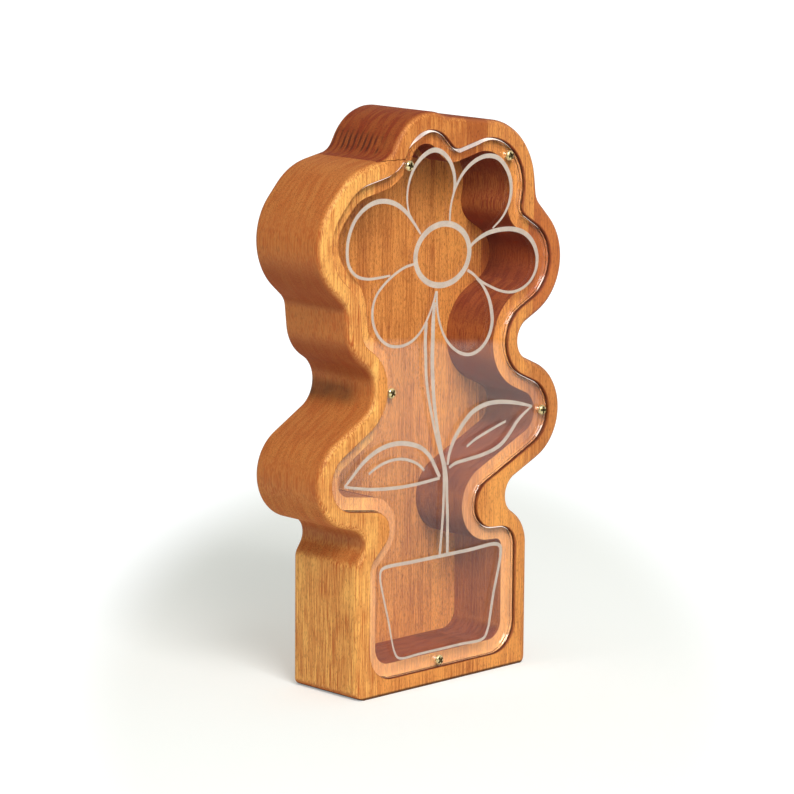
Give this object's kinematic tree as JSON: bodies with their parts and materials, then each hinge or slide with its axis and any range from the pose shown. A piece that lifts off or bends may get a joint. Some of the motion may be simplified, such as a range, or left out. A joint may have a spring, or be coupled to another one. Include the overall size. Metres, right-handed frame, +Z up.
{
  "type": "wooden money box",
  "caption": "Flower-in-a-pot money box cut from a laminated wooden board, with a deep coin pocket behind a clear engraved panel held by small brass screws.",
  "frame": {"origin": "middle of the pot's flat underside, halfway between its two bottom corners and halfway through the board", "axes": "+Z up through the flower, +Y from the clear panel towards the back, +X to the right as seen from the front"},
  "size_m": [0.1432, 0.04, 0.2439],
  "materials": {
    "wood_left": "oiled, upright grain",
    "wood_wide": "oiled, upright grain",
    "wood_dark": "oiled, upright grain",
    "wood_right": "oiled, upright grain",
    "wood_petal": "oiled, upright grain",
    "wood_leaf": "oiled, upright grain",
    "clear_panel": "clear acrylic with a frosted engraving",
    "brass": "bright, slightly tarnished"
  },
  "bodies": {
    "case": {"left_stave": "wood_left", "wide_stave": "wood_wide", "dark_stave": "wood_dark", "right_stave": "wood_right", "right_petal_stave": "wood_petal", "right_leaf_stave": "wood_leaf"},
    "panel": {"front_panel": "clear_panel"},
    "screw_top_left_body": {"screw_top_left": "brass"},
    "screw_top_right_body": {"screw_top_right": "brass"},
    "screw_mid_left_body": {"screw_mid_left": "brass"},
    "screw_mid_right_body": {"screw_mid_right": "brass"},
    "screw_bottom_body": {"screw_bottom": "brass"}
  },
  "joints": [
    {"name": "panel_lift", "type": "slide", "parent": "case", "child": "panel", "axis": [0, -1, 0], "range_m": [0, 0.03]},
    {"name": "screw_top_left_draw", "type": "slide", "parent": "panel", "child": "screw_top_left_body", "axis": [0, -1, 0], "range_m": [0, 0.0135]},
    {"name": "screw_top_right_draw", "type": "slide", "parent": "panel", "child": "screw_top_right_body", "axis": [0, -1, 0], "range_m": [0, 0.0135]},
    {"name": "screw_mid_left_draw", "type": "slide", "parent": "panel", "child": "screw_mid_left_body", "axis": [0, -1, 0], "range_m": [0, 0.0135]},
    {"name": "screw_mid_right_draw", "type": "slide", "parent": "panel", "child": "screw_mid_right_body", "axis": [0, -1, 0], "range_m": [0, 0.0135]},
    {"name": "screw_bottom_draw", "type": "slide", "parent": "panel", "child": "screw_bottom_body", "axis": [0, -1, 0], "range_m": [0, 0.0135]}
  ]
}
